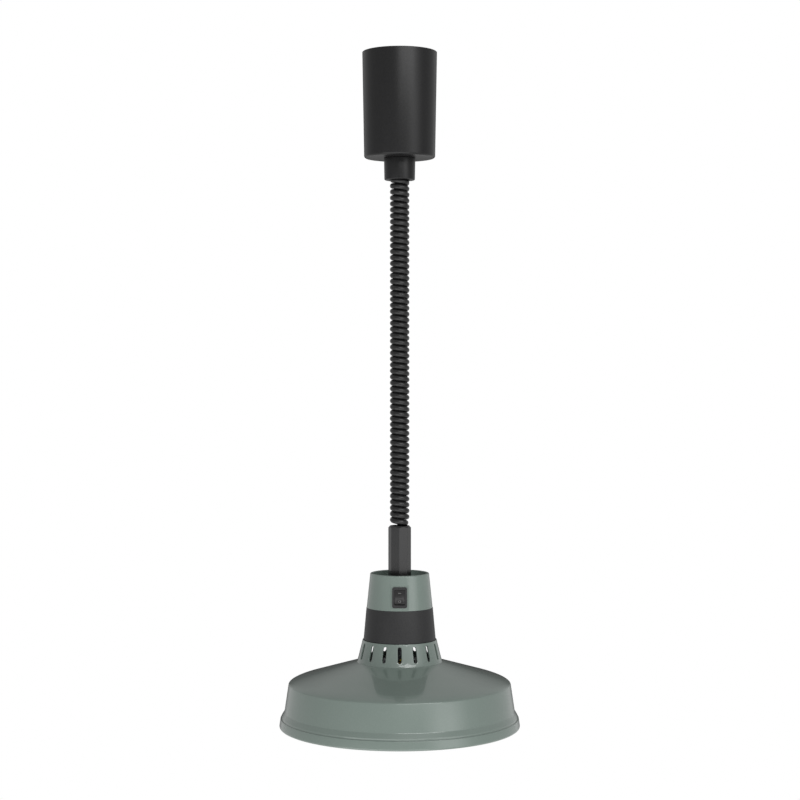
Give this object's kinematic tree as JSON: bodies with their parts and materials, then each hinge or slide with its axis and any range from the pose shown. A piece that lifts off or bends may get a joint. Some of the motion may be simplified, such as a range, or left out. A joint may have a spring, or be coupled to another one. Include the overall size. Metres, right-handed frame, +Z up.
{
  "type": "pull-down heat lamp warmer",
  "caption": "Pendant food-warming heat lamp: cup canopy, curly drop cord, vented neck with rocker switch, spun shade, mirror reflector, guarded quartz lamp.",
  "frame": {"origin": "on the ceiling plane, midway between the two ceiling screw holes, on the lamp's axis", "axes": "+Z up into the ceiling along the drop cord's axis, -Y towards the switch, +X to its right"},
  "size_m": [0.275, 0.275, 0.7693],
  "materials": {
    "green_enamel": "gloss stoved enamel, sage green",
    "green_moulding": "gloss moulded finish, sage green",
    "black_satin": "fine satin powder coat, black",
    "black_sleeve": "satin anodised look, near-black",
    "black_plastic": "moulded, satin",
    "black_rubber": "cord sheath",
    "zinc_steel": "bright zinc plate",
    "brass": "plain",
    "ceramic": "steatite, unglazed",
    "nylon": "natural nylon",
    "chrome": "mirror polished",
    "dark_mirror": "polished dark stainless steel",
    "satin_aluminium": "satin",
    "quartz": "clear quartz",
    "nickel_wire": "drawn wire",
    "wire_brown": "insulation",
    "wire_blue": "insulation",
    "wire_green_yellow": "insulation",
    "wire_grey": "heat-resistant sleeving"
  },
  "bodies": {
    "ceiling_mount": {"mounting_bracket": "zinc_steel", "canopy": "black_satin", "collar": "black_satin", "collar_bush": "black_plastic", "collar_washer": "zinc_steel", "collar_nut": "zinc_steel", "top_cord_clamp": "nylon", "top_clamp_screws": "zinc_steel", "terminal_block": "nylon", "terminal_barrels": "brass", "terminal_screws": "zinc_steel", "block_screw": "zinc_steel", "earth_lug": "brass", "earth_screw": "brass", "cord_tail_top": "black_rubber", "canopy_wire_live": "wire_brown", "canopy_wire_neutral": "wire_blue", "canopy_wire_earth": "wire_green_yellow", "coil_cord": "black_rubber"},
    "lamp_head": {"sleeve": "black_sleeve", "sleeve_bush": "black_plastic", "sleeve_washer": "zinc_steel", "sleeve_nut": "zinc_steel", "head_cord_clamp": "nylon", "head_clamp_screws": "zinc_steel", "cord_tail_bottom": "black_rubber", "neck_housing": "green_moulding", "switch_body": "black_plastic", "switch_terminals": "brass", "grip_band": "black_plastic", "vent_collar": "green_moulding", "shade": "green_enamel", "chassis_plate": "zinc_steel", "tie_screws": "zinc_steel", "tie_nuts": "zinc_steel", "head_earth_lug": "brass", "head_earth_screw": "brass", "head_wire_live": "wire_brown", "head_wire_switched": "wire_grey", "head_wire_neutral": "wire_blue", "head_wire_earth": "wire_green_yellow", "lamp_bracket": "zinc_steel", "bracket_spacers": "zinc_steel", "bracket_screws": "zinc_steel", "reflector": "chrome", "lamp_frame": "chrome", "lamp_plate": "dark_mirror", "plate_screws": "zinc_steel", "lamp_trough": "satin_aluminium", "lamp_holders": "ceramic", "holder_screws": "zinc_steel", "holder_tabs": "brass", "fixed_contact": "brass", "quartz_tube": "quartz", "lamp_caps": "ceramic", "lamp_conductor": "nickel_wire", "guard_wires": "chrome"},
    "switch_rocker": {"rocker": "black_plastic"},
    "sprung_contact": {"contact_plunger": "brass", "contact_spring": "nickel_wire"}
  },
  "joints": [
    {"name": "rise_and_fall", "type": "slide", "parent": "ceiling_mount", "child": "lamp_head", "axis": [0, 0, -1], "range_m": [0, 1], "deforming": ["coil_cord"]},
    {"name": "switch_rock", "type": "hinge", "parent": "lamp_head", "child": "switch_rocker", "pos_m": [0, -0.03479, -0.61812], "axis": [1, 0, 0], "range_deg": [0, 18]},
    {"name": "contact_press", "type": "slide", "parent": "lamp_head", "child": "sprung_contact", "axis": [-1, 0, 0], "range_m": [0, 0.003], "stiffness_N_per_m": 900, "springref_m": -0.004, "deforming": ["contact_spring"]}
  ]
}
